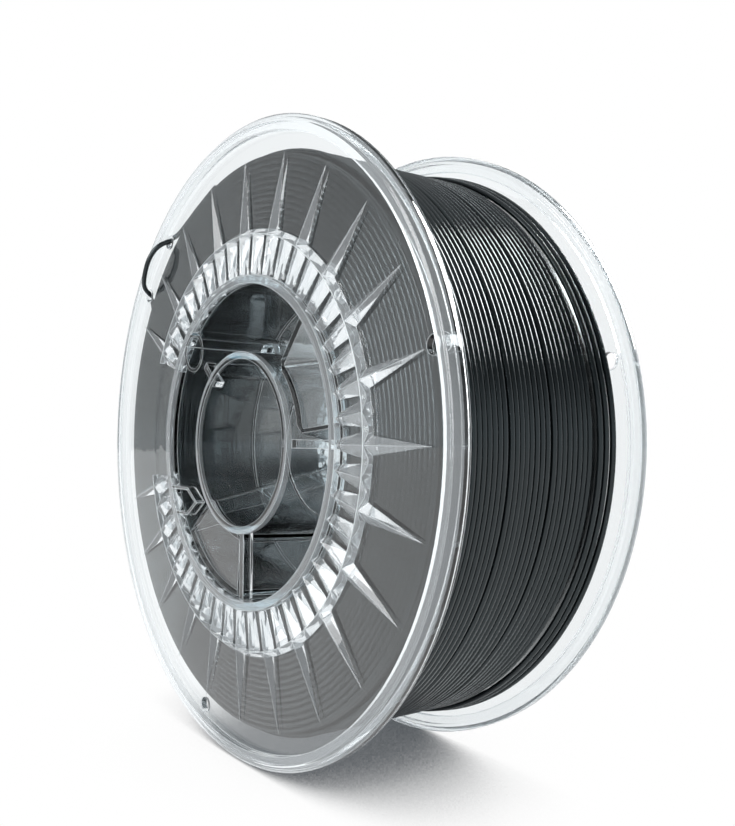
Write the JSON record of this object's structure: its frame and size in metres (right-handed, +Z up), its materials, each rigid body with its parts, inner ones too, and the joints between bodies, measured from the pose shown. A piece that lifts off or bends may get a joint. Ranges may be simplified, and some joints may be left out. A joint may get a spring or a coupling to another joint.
{
  "type": "filament spool",
  "caption": "Transparent two-part filament spool with a toothed crown moulded round its hub, wound with dark 1.75 mm filament whose end is clipped through the flange.",
  "frame": {"origin": "centre of the bore, halfway between the outer faces of the two flanges", "axes": "+Y along the spool's axis from the front flange to the back flange, +Z up, +X to the right seen from the front"},
  "size_m": [0.2, 0.0746, 0.2],
  "materials": {
    "clear_plastic": "clear, polished, slightly blue",
    "filament": "satin, dark grey"
  },
  "bodies": {
    "root": {"front_half": "clear_plastic", "back_half": "clear_plastic", "filament_winding": "filament", "filament_end": "filament"}
  },
  "joints": []
}
